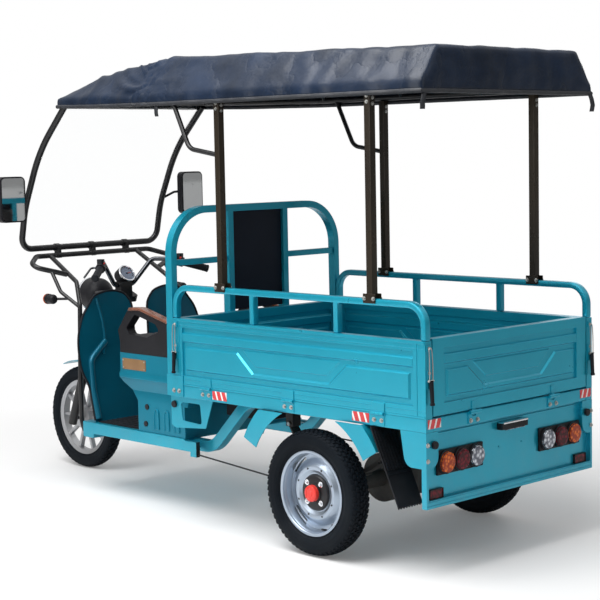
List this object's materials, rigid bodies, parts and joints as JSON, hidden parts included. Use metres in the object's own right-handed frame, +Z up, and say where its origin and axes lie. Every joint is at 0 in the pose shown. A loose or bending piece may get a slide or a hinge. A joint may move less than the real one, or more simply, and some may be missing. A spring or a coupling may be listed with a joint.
{
  "type": "electric cargo tricycle",
  "caption": "Electric cargo tricycle with a drop-tailgate steel bed, a driver's seat with backrest hoop, a windscreen and a fabric canopy on posts.",
  "frame": {"origin": "on the ground under the middle of the whole vehicle", "axes": "+X forward along the vehicle, +Y to its left, +Z up"},
  "size_m": [3.017, 1.242, 1.992],
  "materials": {
    "teal_paint": "metallic gloss",
    "black_steel": "satin",
    "bright_steel": "bright",
    "silver_rim": "satin",
    "cast_alloy": "satin",
    "hub_black": "satin",
    "tyre_rubber": "matte",
    "black_rubber": "matte",
    "black_plastic": "matte",
    "amber_lens": "glossy",
    "red_lens": "glossy",
    "clear_lens": "glossy",
    "screen": "clear",
    "mirror_glass": "mirror",
    "brown_pad": "glossy",
    "black_vinyl": "satin",
    "canopy_fabric": "coated"
  },
  "bodies": {
    "chassis": {"bed_side_rails": "teal_paint", "bed_cross_rails": "teal_paint", "bed_floor": "teal_paint", "side_boards": "teal_paint", "front_board": "teal_paint", "side_rails": "teal_paint", "tailgate_hinges": "teal_paint", "tail_panel": "teal_paint", "main_beams": "teal_paint", "floor_pan": "teal_paint", "steering_head": "teal_paint", "bed_brackets": "teal_paint", "backrest_hoop": "teal_paint", "seat_box": "teal_paint", "rear_fenders": "teal_paint", "leg_shield": "teal_paint", "latches": "black_steel", "rear_axle": "black_steel", "leaf_springs": "black_steel", "front_guard": "black_steel", "windscreen_hoop": "black_steel", "canopy_posts": "black_steel", "canopy_frame": "black_steel", "brake_linkage": "black_steel", "mud_flaps": "black_rubber", "tail_fittings": "black_plastic", "controller_box": "black_plastic", "seat_base": "black_plastic", "mirror_housings": "black_plastic", "front_indicators": "black_plastic", "battery": "black_plastic", "backrest_panel": "black_plastic", "tail_lamps_amber": "amber_lens", "tail_lamps_red": "red_lens", "tail_lamps_clear": "clear_lens", "windscreen": "screen", "mirror_glass": "mirror_glass", "armrest_pads": "brown_pad", "seat_cushion": "black_vinyl", "backrest_pad": "black_vinyl", "canopy_cover": "canopy_fabric"},
    "steering": {"fork": "black_steel", "handlebar": "bright_steel", "grips": "black_rubber", "gauge": "black_plastic", "headlamp": "black_plastic", "headlamp_lens": "clear_lens", "front_mudguard": "teal_paint"},
    "front_wheel": {"front_tyre": "tyre_rubber", "front_wheel": "cast_alloy"},
    "rear_wheel_left": {"rear_tyre_left": "tyre_rubber", "rear_rim_left": "silver_rim", "rear_hub_left": "hub_black"},
    "rear_wheel_right": {"rear_tyre_right": "tyre_rubber", "rear_rim_right": "silver_rim", "rear_hub_right": "hub_black"},
    "tailgate": {"tailgate": "teal_paint"}
  },
  "joints": [
    {"name": "steering", "type": "hinge", "parent": "chassis", "child": "steering", "pos_m": [1.3205, 0, 0], "axis": [-0.3746, 0, 0.9272], "range_deg": [-40, 40]},
    {"name": "front_wheel_spin", "type": "hinge", "parent": "steering", "child": "front_wheel", "pos_m": [1.2505, 0, 0.258], "axis": [0, 1, 0], "continuous": true},
    {"name": "rear_wheel_left_spin", "type": "hinge", "parent": "chassis", "child": "rear_wheel_left", "pos_m": [-0.8965, 0.4875, 0.25], "axis": [0, 1, 0], "continuous": true},
    {"name": "rear_wheel_right_spin", "type": "hinge", "parent": "chassis", "child": "rear_wheel_right", "pos_m": [-0.8965, -0.4875, 0.25], "axis": [0, 1, 0], "continuous": true},
    {"name": "tailgate_hinge", "type": "hinge", "parent": "chassis", "child": "tailgate", "pos_m": [-1.4965, 0, 0.6], "axis": [0, -1, 0], "range_deg": [0, 180]}
  ]
}
